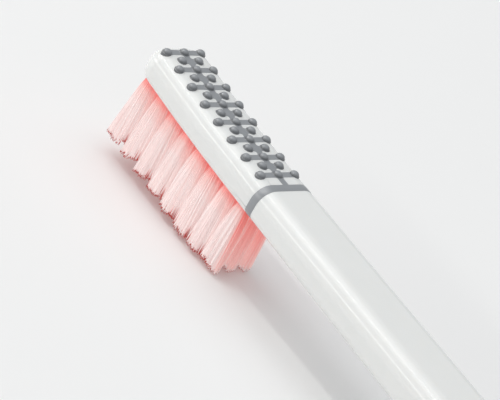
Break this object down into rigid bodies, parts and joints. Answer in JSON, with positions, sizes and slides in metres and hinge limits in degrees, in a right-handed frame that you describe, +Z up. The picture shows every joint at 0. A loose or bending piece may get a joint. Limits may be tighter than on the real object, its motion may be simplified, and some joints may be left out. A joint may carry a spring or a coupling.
{
  "type": "manual toothbrush",
  "caption": "Slim manual toothbrush: straight white handle, gently bent head with tufted bristles on the front and a grey rubber nub tongue cleaner with a ring on the back",
  "frame": {"origin": "Centre of the bounding box in plan, at its bottom: the level that the last tufts and the tail rest on", "axes": "+X along the brush from the tip of the head to the tail, +Y across it, +Z up, out of the back of the head. The brush lies on its bristles and on the front edge of its tail"},
  "size_m": [0.1888, 0.0098, 0.0195],
  "materials": {
    "white_plastic": "smooth glossy moulding",
    "grey_rubber": "satin moulded rubber",
    "bristle": "bundled fine filaments, redder at the root",
    "anchor_metal": "punched flat plate"
  },
  "bodies": {
    "root": {"handle": "white_plastic", "tongue_cleaner": "grey_rubber", "tuft_anchors": "anchor_metal", "tuft_row1_left": "bristle", "tuft_row1_middle": "bristle", "tuft_row1_right": "bristle", "tuft_row2_left": "bristle", "tuft_row2_middle": "bristle", "tuft_row2_right": "bristle", "tuft_row3_left": "bristle", "tuft_row3_middle": "bristle", "tuft_row3_right": "bristle", "tuft_row4_left": "bristle", "tuft_row4_middle": "bristle", "tuft_row4_right": "bristle", "tuft_row5_left": "bristle", "tuft_row5_middle": "bristle", "tuft_row5_right": "bristle", "tuft_row6_left": "bristle", "tuft_row6_middle": "bristle", "tuft_row6_right": "bristle", "tuft_row7_left": "bristle", "tuft_row7_middle": "bristle", "tuft_row7_right": "bristle", "tuft_row8_left": "bristle", "tuft_row8_middle": "bristle", "tuft_row8_right": "bristle"}
  },
  "joints": []
}
